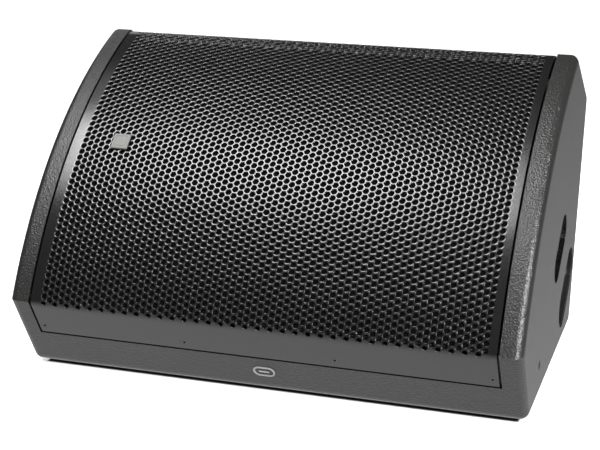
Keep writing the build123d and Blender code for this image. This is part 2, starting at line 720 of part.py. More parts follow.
def bend_radii(points):
    """Radius at each inner point: as large as its two runs allow."""
    radii = []
    for before, here, after in zip(points, points[1:], points[2:]):
        first, second = here - before, after - here
        half_turn = radians(first.get_angle(second)) / 2
        radii.append(0.45 * min(first.length, second.length) / tan(half_turn))
    return radii


def lead(*points):
    """Round two-core lead along straight runs joined by arcs."""
    corners = [Vector(*point) for point in points]
    path = FilletPolyline(*corners, radius=bend_radii(corners))
    section = Plane(origin=path @ 0, z_dir=path % 0) * Circle(LEAD_R)
    return sweep(section, path=path)


def at(x, s, d):
    """Point at X, s along the baffle and d behind its front face."""
    spot = baffle_point(s, BAFFLE_SETBACK + d)
    return (x, spot.X, spot.Y)


def inner_wiring():
    """Leads from the lower socket to the board, and from the board to the woofer and the driver."""
    foot = BOARD_TOP - 1.0
    socket = dish_place(SOCKET_LOWER_X).position
    socket_y, socket_z = socket.Y, socket.Z
    feed = lead((224, socket_y, socket_z), (203, socket_y, socket_z), (192, 44, 46), (187, 4, 45),
                (178, -36, 49), (168, -68, 55), (166, -86, 44), (166, -86, foot))
    to_woofer = lead((122, -60, foot), (122, -60, 44), (122, -38, 60),
                     at(122, -81.5, 92), at(122, -81.5, 65))
    to_driver = lead((35, -78, foot), (35, -78, 52), (-12, -25, 68), (-58, 12, 82), (-92, 46, 60),
                     (-108, 72, 42), (-128, 88, 52), at(-128, 0, HORN_DEPTH + 49))
    return group([feed, to_woofer, to_driver])


def damping_wadding():
    """Two pads of polyester wadding on the inside of the back panel."""
    pads = []
    for low, high, reach in ((-200.0, -66.0, 110.0), (-50.0, 150.0, 190.0)):
        face = plank(BACK_BOTTOM, BACK_TOP, PANEL_THICKNESS + 10.0)
        skin = plank(BACK_BOTTOM, BACK_TOP, PANEL_THICKNESS, 5, 5)
        band = Pos(150.0, 45.0 + reach / 2) * Rectangle(200.0, reach)
        pads.append(across((face - skin) & band, low, high))
    return group(pads)


# ---------------------------------------------------------------- putting it together
def build():
    faces = panels()
    parts = {name: across(face, -INNER_X, INNER_X) for name, face in faces.items()}
    parts["side_panel_right"] = side_panel(1)
    parts["side_panel_left"] = side_panel(-1)
    parts["inner_brace"] = inner_brace()
    parts["rubber_feet"] = rubber_feet()
    parts["foot_screws"] = foot_screws()
    parts["grille"] = grille()
    parts["grille_foam"] = grille_foam()
    parts["grille_tape"] = grille_tape()
    parts["grille_screws"] = flange_screws()
    parts["grille_badge"] = grille_badge()
    parts["rail_emblem"] = rail_emblem()
    parts.update(woofer_parts())
    parts.update(hf_parts())
    parts["port_tubes"] = port_tubes()
    parts.update(connector_parts())
    parts["pole_cup"] = pole_cup()
    parts["pole_cup_screws"] = pole_cup_screws()
    parts["threaded_inserts"] = threaded_inserts()
    parts.update(handle_parts())
    parts.update(crossover_parts())
    parts["inner_wiring"] = inner_wiring()
    parts["damping_wadding"] = damping_wadding()
    open_holes(parts)
    return parts


def open_holes(parts):
    """Cuts in each panel and frame for what goes through it."""
    woofer, horn_place = on_baffle(WOOFER_X), on_baffle(HORN_X)
    through = -PANEL_THICKNESS - 5
    baffle_cuts = [woofer * disc(WOOFER_CUTOUT_R, through, 5)]
    baffle_cuts.append(horn_place * rounded_block(HORN_WIDTH - 14, HORN_HEIGHT - 20, 20, through, 5))
    for s in (-PORT_S, PORT_S):
        baffle_cuts.append(on_baffle(HORN_X, s) * disc(PORT_R + PORT_WALL, through, 5))
    right_cuts = [
        on_recess(POLE_CENTRE) * oval(POLE_RECESS_R, POLE_RECESS_SPAN, -POLE_RECESS_DEPTH, 5),
        on_recess(POLE_CENTRE) * disc(POLE_BOSS_R, -SIDE_THICKNESS - 5, 0),
        on_recess(DISH_CENTRE, DISH_INSET) * dish_form(0.0, DISH_INSET + 1.0),
        on_right(INSERT_CENTRE) * disc(INSERT_R, -INSERT_LENGTH - 2.5, 5),
    ]
    left_cuts = [
        on_left(HANDLE_CENTRE) * rounded_block(HANDLE_LENGTH, HANDLE_HEIGHT, 20, -HANDLE_DEPTH, 5),
        on_left(HANDLE_CENTRE) * rounded_block(HANDLE_LENGTH + 30, HANDLE_HEIGHT + 30, 24, -3, 5),
        on_left(INSERT_CENTRE) * disc(INSERT_R, -INSERT_LENGTH - 2.5, 5),
    ]
    hosts = {
        "baffle": baffle_cuts + [parts["woofer_screws"], parts["horn_screws"]],
        "side_panel_right": right_cuts + [parts["pole_cup_screws"]],
        "side_panel_left": left_cuts + [parts["handle_screws"]],
        "woofer_basket": [parts["woofer_screws"]],
        "woofer_gasket": [parts["woofer_screws"]],
        "horn": [parts["horn_screws"]],
        "pole_cup": [parts["pole_cup_screws"]],
        "handle_tray": [parts["handle_screws"]],
        "bottom_panel": [parts["foot_screws"], parts["board_screws"]],
        "front_rail": [parts["grille_screws"]],
        "top_panel": [parts["grille_screws"]],
        "grille": [parts["grille_screws"], parts["grille_badge"]],
        "grille_tape": [parts["grille_screws"]],
        "grille_foam": [parts["grille_badge"]],
        "crossover_board": [parts["board_screws"]],
        "board_standoffs": [parts["board_screws"]],
    }
    for host, tools in hosts.items():
        parts[host] = cut(parts[host], *tools)


def write(parts):
    os.makedirs("parts", exist_ok=True)
    for name, shape in parts.items():
        solids = shape.solids()
        export_step(solids[0] if len(solids) == 1 else Compound(children=solids), f"parts/{name}.step")
        print(name, len(solids))


write(build())
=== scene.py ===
import json
import math

import bpy
import numpy as np
from mathutils import Matrix, Vector, geometry, noise


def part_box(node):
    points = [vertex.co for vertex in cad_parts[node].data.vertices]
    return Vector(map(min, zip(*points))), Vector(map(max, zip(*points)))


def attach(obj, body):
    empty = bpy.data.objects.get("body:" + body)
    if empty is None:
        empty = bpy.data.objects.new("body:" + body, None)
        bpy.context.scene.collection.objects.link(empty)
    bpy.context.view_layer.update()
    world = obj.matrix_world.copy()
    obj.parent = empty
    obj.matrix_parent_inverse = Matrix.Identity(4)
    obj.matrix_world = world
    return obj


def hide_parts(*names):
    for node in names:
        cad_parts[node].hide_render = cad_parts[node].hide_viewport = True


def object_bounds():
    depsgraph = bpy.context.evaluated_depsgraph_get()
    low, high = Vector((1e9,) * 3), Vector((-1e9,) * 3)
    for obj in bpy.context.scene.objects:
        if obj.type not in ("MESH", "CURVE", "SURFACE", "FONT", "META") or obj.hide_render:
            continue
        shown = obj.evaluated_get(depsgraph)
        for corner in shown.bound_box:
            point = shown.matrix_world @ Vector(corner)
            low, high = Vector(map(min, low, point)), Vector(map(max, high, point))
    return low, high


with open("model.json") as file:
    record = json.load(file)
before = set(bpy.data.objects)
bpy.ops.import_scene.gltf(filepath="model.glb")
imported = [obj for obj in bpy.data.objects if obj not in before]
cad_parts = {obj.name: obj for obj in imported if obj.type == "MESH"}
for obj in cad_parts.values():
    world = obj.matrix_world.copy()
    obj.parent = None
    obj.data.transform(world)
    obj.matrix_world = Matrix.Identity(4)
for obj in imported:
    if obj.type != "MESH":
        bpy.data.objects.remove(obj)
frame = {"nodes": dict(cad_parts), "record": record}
CAD_BOX = [list(corner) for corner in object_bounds()]
NODES = frame["nodes"]

# Stage monitor wedge. Metres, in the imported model's frame: +X is the cabinet's right, -Y faces the
# performer and Z is up from the floor. The grille's own sizes are in millimetres, with its profile
# as (y, z).

# ---------------------------------------------------------------- grille, in millimetres
FOLD = (-198.5, 96.8)            # where the grille would meet its lower flange without a bend
TOP = (107.2, 339.2)             # where its arc would meet the top bevel
FRONT_LEAN = math.radians(27.93)
BACK_TOP = (200.47, 270.3)       # where the top bevel would meet the back
TOP_FALL = math.atan2(TOP[1] - BACK_TOP[1], BACK_TOP[0] - TOP[0])
ARC_R = 527.2
FOLD_R = 9.0
TOP_R = 27.0
SHEET = 1.5
LOWER_FLANGE = 49.2
UPPER_FLANGE = 34.0
SCREW_INSET = 11.0
SCREW_XS = (-253.0, -85.0, 85.0, 253.0)
SCREW_HOLE_R = 3.85
SCREW_HOLE_SIDES = 24

HOLE_R = 3.0
HOLE_EDGE_R = 3.38               # where the coat starts to round into a hole
HOLE_EDGE_DROP = 0.32
HOLE_SIDES = 12
PITCH = 8.0                      # between neighbouring hole centres
FIRST_COLUMN_X = -244.4
COLUMNS = 72
ROWS = 53
HALF_FLAT = PITCH / math.sqrt(3) / 2    # half of one flat side of a hole's hexagonal cell
MARGIN_BELOW = 1.2 * PITCH       # from the fold down to the flange's plain part

FOAM_GAP = 0.4
FOAM_THICKNESS = 4.6
FOAM_GRID = (240, 170)           # points across and along the foam
FOAM_RUN = (6.0, 376.0)          # its ends along the sheet
FOAM_INSET = 0.5
FOAM_PIT = 0.9                   # deepest pit in its face
FOAM_PIT_PITCH = 0.31            # noise steps for a millimetre
FOAM_PIT_SLICE = 4.0             # where the noise is cut through

# ---------------------------------------------------------------- cabinet and studio, in metres
INNER_X = 0.262                  # inner and outer faces of the sides
OUTER_X = 0.286
# these six, with the sides' faces above, place the painted shade in the cabinet paint's gaps and
# pole recess
POLE_CENTRE = (0.0298, 0.1345)   # middle of the pole recess in the right side, as (y, z)
POLE_REACH = 0.05
REBATE_HEIGHTS = (-0.006, -0.0004)  # lowest and highest, from the front rail's face
REBATE_RUN = 0.053               # from the fold to past the grille's lower edge
EDGE_MARGIN = 0.0005
FACE_TOLERANCE = 0.00003

GRIP_RINGS, GRIP_SIDES = 289, 40
RIB_PITCH = 0.006
RIB_DEPTH = 0.0007
RIBBED_SHARE = 0.78              # of the grip's length

WADDING_VOXEL = 0.004
WADDING_SOFTENING = 6            # passes of the smooth modifier
WADDING_SINK = 0.0012            # the pads' faces go in by this, give or take their lumps
WADDING_LUMP = 0.0011
LUMPS, TUFTS = 34.0, 110.0       # noise steps for a metre

# name, place, target, width, height, radiance
LAMPS = (
    ("overhead", (-0.55, -0.35, 1.80), (-0.55, -0.35, 0.0), 0.92, 0.74, 24.0),
    ("overhead_fade", (-0.55, 0.30, 1.80), (-0.55, 0.30, 0.0), 0.92, 0.56, 1.6),
    ("front_right", (1.55, -1.25, 1.55), (0.28, -0.15, 0.15), 0.60, 1.1, 76.0),
    ("back_left", (-1.6, 2.2, 1.5), (0.0, 0.0, 0.2), 1.2, 1.2, 1.2),
)
ROOM_STRENGTH = 2.0
# how bright the room is at each height of the line of sight, from straight down to straight up
ROOM_STOPS = (
    (-1.0, 0.66),
    (-0.7, 0.62),
    (-0.40, 0.36),
    (-0.22, 0.20),
    (-0.04, 0.08),
    (0.10, 0.02),
    (1.0, 0.012),
)
FLOOR_REACH = 8.0
FLOOR_GLOW = 0.62
SHADE_HALF_WIDTH = 0.276         # painted shadow: the floor doesn't glow and is darkened in this area under the cabinet
SHADE_FRONT = -0.144
SHADE_BACK = 0.125
SHADE_EDGE = 0.003
SHADE_COLOUR_SHARE = 0.15
DOME_RADIUS = 7.8
DOME_SIDES, DOME_RINGS = 48, 12
DOME_DROP = 0.02                 # its rim is this far under the floor

VIEW_YAW, VIEW_PITCH, VIEW_ROLL = (math.radians(a) for a in (18.351, 19.280, 0.810))
VIEW_PLACE = (0.5162, -1.5901, 0.5609)  # from the middle of the CAD box
VIEW_LENS = 91.98
SENSOR_WIDTH = 36.0


# ---------------------------------------------------------------- sheet profile
def unit(angle):
    return np.array([math.cos(angle), math.sin(angle)])


def arc_centre():
    """Centre of the front arc through the fold and the top."""
    start, end = np.array(FOLD), np.array(TOP)
    chord = end - start
    half = np.linalg.norm(chord) / 2
    direction = chord / (2 * half)
    behind = np.array([direction[1], -direction[0]])
    return (start + end) / 2 + behind * math.sqrt(ARC_R**2 - half**2)


CENTRE = arc_centre()
FLANGE_NORMAL = math.pi + FRONT_LEAN             # angles of the outward normals
BEVEL_NORMAL = math.pi / 2 - TOP_FALL


def bend_angle(radius, corner, normal):
    """Angle about the arc's centre at which a bend of this radius begins."""
    inner = -unit(normal)
    offset = float(np.dot(CENTRE - np.array(corner), inner))
    swing = math.acos((radius - offset) / (ARC_R - radius))
    options = (normal + math.pi + swing, normal + math.pi - swing)
    corner_angle = math.atan2(corner[1] - CENTRE[1], corner[0] - CENTRE[0])
    wrapped = [(a + math.pi) % (2 * math.pi) - math.pi for a in options]
    return min(wrapped, key=lambda a: abs(a - corner_angle))


LOW_ANGLE = bend_angle(FOLD_R, FOLD, FLANGE_NORMAL)
HIGH_ANGLE = bend_angle(TOP_R, TOP, BEVEL_NORMAL)
LOW_BEND = CENTRE + (ARC_R - FOLD_R) * unit(LOW_ANGLE)
HIGH_BEND = CENTRE + (ARC_R - TOP_R) * unit(HIGH_ANGLE)
LOW_BEND_LENGTH = FOLD_R * (FLANGE_NORMAL - LOW_ANGLE)
HIGH_BEND_LENGTH = TOP_R * (HIGH_ANGLE - BEVEL_NORMAL)
ARC_LENGTH = ARC_R * (LOW_ANGLE - HIGH_ANGLE)


def flat_length(corner, bend, normal, flange):
    """Length of a flange past its bend."""
    along = np.array([-math.sin(normal), math.cos(normal)])
    return flange - abs(float(np.dot(bend - np.array(corner), along)))


# Distances along the sheet, from the middle of the fold: the flange is below 0, the arc above.
U_ARC = LOW_BEND_LENGTH / 2
U_TOP_BEND = U_ARC + ARC_LENGTH
U_BEVEL = U_TOP_BEND + HIGH_BEND_LENGTH
U_END = U_BEVEL + flat_length(TOP, HIGH_BEND, BEVEL_NORMAL, UPPER_FLANGE)
U_START = -U_ARC - flat_length(FOLD, LOW_BEND, FLANGE_NORMAL, LOWER_FLANGE)


def sheet_points(x, u, depth):
    """Places in metres on the bent sheet, for arrays of x, distance along it and depth."""
    angle = np.where(u < -U_ARC, FLANGE_NORMAL, LOW_ANGLE - (u - U_ARC) / ARC_R)
    in_fold = np.abs(u) <= U_ARC
    angle = np.where(in_fold, LOW_ANGLE - (u - U_ARC) / FOLD_R, angle)
    in_bend = (u > U_TOP_BEND) & (u <= U_BEVEL)
    angle = np.where(in_bend, HIGH_ANGLE - (u - U_TOP_BEND) / TOP_R, angle)
    angle = np.where(u > U_BEVEL, BEVEL_NORMAL, angle)
    normal = np.stack([np.cos(angle), np.sin(angle)], -1)
    base = CENTRE + ARC_R * normal
    low, high = LOW_BEND + FOLD_R * normal, HIGH_BEND + TOP_R * normal
    base = np.where((u < U_ARC)[:, None], low, base)
    base = np.where((u > U_TOP_BEND)[:, None], high, base)
    tangent = np.stack([normal[:, 1], -normal[:, 0]], -1)
    run = np.where(u < -U_ARC, u + U_ARC, 0.0) + np.where(u > U_BEVEL, u - U_BEVEL, 0.0)
    base = base + tangent * run[:, None]
    yz = base - normal * depth[:, None]
    return np.column_stack([x, yz]) / 1000.0


# ---------------------------------------------------------------- mesh helpers
def add_object(name, data):
    made = bpy.data.objects.new(name, data)
    bpy.context.scene.collection.objects.link(made)
    return made


def new_piece(name, vertices, faces, body="cabinet"):
    """A piece from its points and faces and the body it rides on."""
    mesh = bpy.data.meshes.new(name)
    mesh.from_pydata([tuple(v) for v in vertices], [], faces)
    mesh.validate()
    mesh.update()
    piece = add_object(name, mesh)
    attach(piece, body)
    return piece


def smooth(piece, sharp_degrees):
    piece.data.shade_smooth()
    piece.data.set_sharp_from_angle(angle=math.radians(sharp_degrees))


def circle(x, u, radius, sides):
    turns = [2 * math.pi * i / sides for i in range(sides)]
    return [(x + radius * math.cos(t), u + radius * math.sin(t)) for t in turns]


class Sheet:
    """Flat pattern of the grille, made of shared points (x, u, depth) in millimetres."""

    def __init__(self):
        self.points, self.index, self.faces = [], {}, []

    def point(self, x, u, depth=0.0):
        key = (round(x * 100), round(u * 100), round(depth * 100))
        if key not in self.index:
            self.index[key] = len(self.points)
            self.points.append((x, u, depth))
        return self.index[key]

    def patch(self, corners, holes=()):
        """Both skins of a flat area, and the walls of its round holes."""
        rims = [circle(*hole, SCREW_HOLE_SIDES) for hole in holes]
        outline, edges = [], []
        for loop in (corners, *rims):
            start, count = len(outline), len(loop)
            outline += [Vector(point) for point in loop]
            edges += [(start + i, start + (i + 1) % count) for i in range(count)]
        found, _, triangles, _, _, _ = geometry.delaunay_2d_cdt(outline, edges, [], 1, 1e-4)
        for triangle in triangles:
            middle = sum((found[i] for i in triangle), Vector((0, 0))) / 3
            if all((middle - Vector(h[:2])).length > h[2] for h in holes):
                self.skins([tuple(found[i]) for i in triangle])
        for rim in rims:
            self.wall(rim)

    def skins(self, corners):
        """One face on the front and its twin on the back."""
        self.faces.append([self.point(x, u) for x, u in corners])
        self.faces.append([self.point(x, u, SHEET) for x, u in reversed(corners)])

    def wall(self, loop, closed=True):
        """Wall through the sheet along a line of points, facing to the right of its direction."""
        ends = list(zip(loop, loop[1:] + loop[:1])) if closed else list(zip(loop, loop[1:]))
        for (x0, u0), (x1, u1) in ends:
            self.faces.append([self.point(x1, u1), self.point(x0, u0),
                               self.point(x0, u0, SHEET), self.point(x1, u1, SHEET)])


def hexagon(x, u):
    """Outline of one hole's cell, with a point in the middle of each side."""
    points = []
    for i in range(HOLE_SIDES):
        reach = PITCH / 2 if i % 2 else PITCH / math.sqrt(3)
        turn = 2 * math.pi * i / HOLE_SIDES
        points.append((x + reach * math.cos(turn), u + reach * math.sin(turn)))
    return points


def hole_cell(sheet, x, u):
    """Cell with a punched hole whose front edge is rounded by its coat."""
    rim = hexagon(x, u)
    edge, bore = circle(x, u, HOLE_EDGE_R, HOLE_SIDES), circle(x, u, HOLE_R, HOLE_SIDES)
    for i in range(HOLE_SIDES):
        j = (i + 1) % HOLE_SIDES
        outer = [sheet.point(*rim[i]), sheet.point(*rim[j])]
        shoulder = [sheet.point(*edge[i]), sheet.point(*edge[j])]
        lip = [sheet.point(*bore[i], HOLE_EDGE_DROP), sheet.point(*bore[j], HOLE_EDGE_DROP)]
        back = [sheet.point(*bore[i], SHEET), sheet.point(*bore[j], SHEET)]
        back_rim = [sheet.point(*rim[i], SHEET), sheet.point(*rim[j], SHEET)]
        for (a, b), (c, d) in ((outer, shoulder), (shoulder, lip), (lip, back), (back, back_rim)):
            sheet.faces.append([a, b, d, c])


def plain_cell(sheet, x, u):
    rim = hexagon(x, u)
    for i in range(HOLE_SIDES):
        sheet.skins([rim[i], rim[(i + 1) % HOLE_SIDES], (x, u)])


# ---------------------------------------------------------------- grille
def column_x(k):
    return FIRST_COLUMN_X + k * PITCH * math.sqrt(3) / 2


def end_chain(even_u, odd_u):
    """Zigzag end of the columns of cells, from left to right."""
    chain = []
    for k in range(COLUMNS):
        x, u = column_x(k), odd_u if k % 2 else even_u
        chain += [(x - HALF_FLAT, u), (x, u), (x + HALF_FLAT, u)]
        if k < COLUMNS - 1:
            chain.append((x + 1.5 * HALF_FLAT, (even_u + odd_u) / 2))
    return chain


def side_chain(k, low, high, sign):
    """Zigzag side of the outermost column, from its lower end up."""
    x, chain = column_x(k), []
    steps = round((high - low) / (PITCH / 4))
    for i in range(steps + 1):
        reach = (1, 1.5, 2, 1.5)[i % 4] * HALF_FLAT
        chain.append((x + sign * reach, low + i * PITCH / 4))
    return chain


def band(sheet, near, far):
    """Skins between two chains of the same number of points, both running to the right or up."""
    for i in range(len(near) - 1):
        corners = [near[i], near[i + 1], far[i + 1], far[i]]
        sheet.skins([c for n, c in enumerate(corners) if c not in corners[:n]])


def grille_pattern(half_width):
    """The whole flat pattern: perforated cells, plain margins and flanges with screw holes."""
    sheet = Sheet()
    for k in range(COLUMNS):
        odd = k % 2
        for j in range(ROWS):
            hole_cell(sheet, column_x(k), j * PITCH + odd * PITCH / 2)
        if odd:
            plain_cell(sheet, column_x(k), -PITCH / 2)
    last = (ROWS - 1) * PITCH
    even_low, odd_low = -PITCH / 2, -PITCH
    even_high, odd_high = last + PITCH / 2, last + PITCH
    left = side_chain(0, even_low, even_high, -1)
    right = side_chain(COLUMNS - 1, odd_low, odd_high, 1)
    band(sheet, [(-half_width, u) for _, u in left], left)
    band(sheet, right, [(half_width, u) for _, u in right])
    below = [(-half_width, even_low)] + end_chain(even_low, odd_low) + [(half_width, odd_low)]
    above = [(-half_width, even_high)] + end_chain(even_high, odd_high) + [(half_width, odd_high)]
    flat_low, flat_high = -MARGIN_BELOW, U_BEVEL + 1
    mid_high = (odd_high + flat_high) / 2
    low_line = [(x, flat_low) for x, _ in below]
    mid_line = [(x, mid_high) for x, _ in above]
    high_line = [(x, flat_high) for x, _ in above]
    band(sheet, low_line, below)
    band(sheet, above, mid_line)
    band(sheet, mid_line, high_line)
    lower_holes = [(x, U_START + SCREW_INSET, SCREW_HOLE_R) for x in SCREW_XS]
    upper_holes = [(x, U_END - SCREW_INSET, SCREW_HOLE_R) for x in SCREW_XS]
    sheet.patch([(-half_width, U_START), (half_width, U_START)] + low_line[::-1], lower_holes)
    sheet.patch(high_line + [(half_width, U_END), (-half_width, U_END)], upper_holes)
    left_side = [U_START, flat_low] + [u for _, u in left] + [mid_high, flat_high, U_END]
    right_side = [U_START, flat_low] + [u for _, u in right] + [mid_high, flat_high, U_END]
    sheet.wall([(half_width, u) for u in reversed(right_side)], closed=False)
    sheet.wall([(-half_width, u) for u in left_side], closed=False)
    sheet.wall([(half_width, U_START), (-half_width, U_START)], closed=False)
    sheet.wall([(-half_width, U_END), (half_width, U_END)], closed=False)
    return sheet


def grille():
    low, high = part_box("grille")
    sheet = grille_pattern(1000 * (high[0] - low[0]) / 2)
    x, u, depth = np.array(sheet.points).T
    piece = new_piece("grille_perforated", sheet_points(x, u, depth), sheet.faces)
    smooth(piece, sharp_degrees=52)
    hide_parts("grille")


def foam():
    """Open-cell foam sheet close behind the perforations, with a pitted face."""
    low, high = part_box("grille_foam")
    columns, rows = FOAM_GRID
    xs = np.linspace(1000 * low[0] + FOAM_INSET, 1000 * high[0] - FOAM_INSET, columns)
    grid_x, grid_u = np.meshgrid(xs, np.linspace(*FOAM_RUN, rows))
    x, u = grid_x.ravel(), grid_u.ravel()
    pits = []
    for a, b in zip(x, u):
        spot = Vector((a * FOAM_PIT_PITCH, b * FOAM_PIT_PITCH, FOAM_PIT_SLICE))
        pits.append(FOAM_PIT * abs(noise.noise(spot)))
    front = sheet_points(x, u, SHEET + FOAM_GAP + np.array(pits))
    back = sheet_points(x, u, np.full(len(x), SHEET + FOAM_GAP + FOAM_THICKNESS))
    count, faces = len(x), []
    for r in range(rows - 1):
        for c in range(columns - 1):
            a = r * columns + c
            quad = (a, a + 1, a + columns + 1, a + columns)
            faces.append(quad)
            faces.append(tuple(i + count for i in reversed(quad)))
    ring = list(range(columns)) + [r * columns + columns - 1 for r in range(1, rows)]
    ring += [(rows - 1) * columns + c for c in range(columns - 2, -1, -1)]
    ring += [r * columns for r in range(rows - 2, 0, -1)]
    for a, b in zip(ring, ring[1:] + ring[:1]):
        faces.append((b, a, a + count, b + count))
    piece = new_piece("grille_foam_sheet", np.vstack([front, back]), faces)
    smooth(piece, sharp_degrees=60)
    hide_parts("grille_foam")


# ---------------------------------------------------------------- other soft and shaped pieces
def grip():
    """Ribbed rubber sleeve round the handle's bar."""
    low, high = (Vector(corner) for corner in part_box("handle_bar"))
    middle, half = (low + high) / 2, (high - low) / 2
    rings, sides = GRIP_RINGS, GRIP_SIDES
    vertices, faces = [], []
    for r in range(rings):
        y = -half.y + 2 * half.y * r / (rings - 1)
        groove = 0.5 - 0.5 * math.cos(2 * math.pi * y / RIB_PITCH)
        sunk = RIB_DEPTH * (groove if abs(y) < half.y * RIBBED_SHARE else 0.0)
        for s in range(sides):
            turn = 2 * math.pi * s / sides
            x = (half.x - sunk) * math.cos(turn)
            z = (half.z - sunk) * math.sin(turn)
            vertices.append((middle.x + x, middle.y + y, middle.z + z))
    for r in range(rings - 1):
        for s in range(sides):
            a, b = r * sides + s, r * sides + (s + 1) % sides
            faces.append((a, b, b + sides, a + sides))
    faces.append(tuple(reversed(range(sides))))
    faces.append(tuple(range((rings - 1) * sides, rings * sides)))
    piece = new_piece("handle_grip", vertices, faces)
    piece.data.flip_normals()
    smooth(piece, sharp_degrees=50)
    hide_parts("handle_bar")


def wadding():
    """Fluffy pads: the plain pads remeshed, softened and pulled in unevenly."""
    mesh = NODES["damping_wadding"].data.copy()
    mesh.materials.clear()
    piece = add_object("wadding_pads", mesh)
    remesh = piece.modifiers.new("remesh", "REMESH")
    remesh.mode = "VOXEL"
    remesh.voxel_size = WADDING_VOXEL
    soften = piece.modifiers.new("soften", "SMOOTH")
    soften.iterations = WADDING_SOFTENING
    evaluated = piece.evaluated_get(bpy.context.evaluated_depsgraph_get())
    baked = bpy.data.meshes.new_from_object(evaluated)
    piece.modifiers.clear()
    piece.data = baked
    baked.update()
    for vertex in baked.vertices:
        lump = noise.noise(vertex.co * LUMPS) + 0.5 * noise.noise(vertex.co * TUFTS)
        vertex.co -= vertex.normal * (WADDING_SINK + WADDING_LUMP * lump)
    smooth(piece, sharp_degrees=180)
    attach(piece, "cabinet")
    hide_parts("damping_wadding")


# ---------------------------------------------------------------- materials
class Finish:
    """A Principled material whose patterns come from the surface's own place in the model."""

    def __init__(self, name, colour, roughness, metallic=0.0, specular=0.5):
        self.material = bpy.data.materials.new(name)
        self.material.use_nodes = True
        self.tree = self.material.node_tree
        self.shader = self.tree.nodes["Principled BSDF"]
        self.place = self.tree.nodes.new("ShaderNodeTexCoord").outputs["Object"]
        self.colour, self.rough = colour, roughness
        self.shader.inputs["Base Color"].default_value = (*colour, 1)
        self.shader.inputs["Roughness"].default_value = roughness
        self.shader.inputs["Metallic"].default_value = metallic
        self.shader.inputs["Specular IOR Level"].default_value = specular

    def node(self, kind, **inputs):
        node = self.tree.nodes.new(kind)
        for name, value in inputs.items():
            node.inputs[name.replace("_", " ")].default_value = value
        return node

    def link(self, output, node, socket):
        self.tree.links.new(output, node.inputs[socket])

    def stretched(self, scale):
        """Object coordinates scaled unevenly, for grain that runs one way."""
        node = self.node("ShaderNodeMapping", Scale=scale)
        self.link(self.place, node, "Vector")
        return node.outputs["Vector"]

    def noise(self, scale, detail=2.0, place=None):
        node = self.node("ShaderNodeTexNoise", Scale=scale, Detail=detail)
        self.link(place or self.place, node, "Vector")
        return node.outputs["Fac"]

    def cells(self, scale, place=None):
        node = self.node("ShaderNodeTexVoronoi", Scale=scale)
        self.link(place or self.place, node, "Vector")
        return node.outputs["Distance"]

    def bands(self, scale, direction, distortion=0.0):
        node = self.node("ShaderNodeTexWave", Scale=scale, Distortion=distortion)
        node.bands_direction = direction
        self.link(self.place, node, "Vector")
        return node.outputs["Fac"]

    def tint(self, pattern, low=0.85, high=1.15):
        """Base colour varied by a pattern between two brightnesses."""
        ramp = self.tree.nodes.new("ShaderNodeValToRGB")
        ramp.color_ramp.elements[0].position = 0.3
        ramp.color_ramp.elements[1].position = 0.7
        for element, factor in zip(ramp.color_ramp.elements, (low, high)):
            element.color = (*(min(c * factor, 1.0) for c in self.colour), 1)
        self.link(pattern, ramp, "Fac")
        self.link(ramp.outputs["Color"], self.shader, "Base Color")
        return self

    def shine(self, pattern, spread=0.06):
        """Roughness varied by a pattern round its middle value."""
        node = self.tree.nodes.new("ShaderNodeMapRange")
        node.inputs["To Min"].default_value = self.rough - spread
        node.inputs["To Max"].default_value = self.rough + spread
        self.link(pattern, node, "Value")
        self.link(node.outputs["Result"], self.shader, "Roughness")
        return self

    def math(self, operation, *values):
        """Result of a Math node on numbers and outputs."""
        node = self.tree.nodes.new("ShaderNodeMath")
        node.operation = operation
        for socket, value in zip(node.inputs, values):
            if isinstance(value, float):
                socket.default_value = value
            else:
                self.tree.links.new(value, socket)
        return node.outputs["Value"]

    def axes(self):
        split = self.node("ShaderNodeSeparateXYZ")
        self.link(self.place, split, "Vector")
        return [split.outputs[axis] for axis in "XYZ"]

    def between(self, value, low, high):
        """1 where the value is between two numbers, else 0."""
        over, under = self.math("GREATER_THAN", value, low), self.math("LESS_THAN", value, high)
        return self.math("MULTIPLY", over, under)

    def darken(self, mask, colour_share, rough_share):
        """Scales the base colour and the roughness where the mask is 1."""
        for socket, share in (("Base Color", colour_share), ("Roughness", rough_share)):
            source = self.shader.inputs[socket].links[0].from_socket
            factor = self.math("SUBTRACT", 1.0, self.math("MULTIPLY", mask, 1.0 - share))
            if socket == "Roughness":
                self.link(self.math("MULTIPLY", source, factor), self.shader, socket)
                continue
            scale = self.tree.nodes.new("ShaderNodeVectorMath")
            scale.operation = "SCALE"
            self.link(source, scale, "Vector")
            self.link(factor, scale, "Scale")
            self.link(scale.outputs["Vector"], self.shader, socket)
        return self

    def relief(self, *layers):
        """Bumps, each (pattern, height in metres, strength), one over the other."""
        previous = None
        for pattern, height, strength in layers:
            bump = self.node("ShaderNodeBump", Strength=strength, Distance=height)
            self.link(pattern, bump, "Height")
            if previous:
                self.link(previous, bump, "Normal")
            previous = bump.outputs["Normal"]
        self.link(previous, self.shader, "Normal")
        return self


def cabinet_paint():
    """Sprayed textured paint: rounded orange-peel grain with finer speckle, with painted shade in
    its gaps and pole recess.
    """
    f = Finish("cabinet_paint", (0.012, 0.012, 0.0117), 0.30, specular=0.335)
    peel, speck, patch = f.noise(520, 2.0), f.noise(1700, 1.0), f.noise(9, 3.0)
    f.tint(patch, 0.93, 1.07).shine(speck, 0.07)
    f.relief((peel, 0.0008, 1.0), (speck, 0.0001, 0.4))
    # painted shade: colour and roughness are cut in the gaps and the pole recess so that they look
    # unlit
    return f.darken(painted_gap_shade(f), 0.2, 0.4)


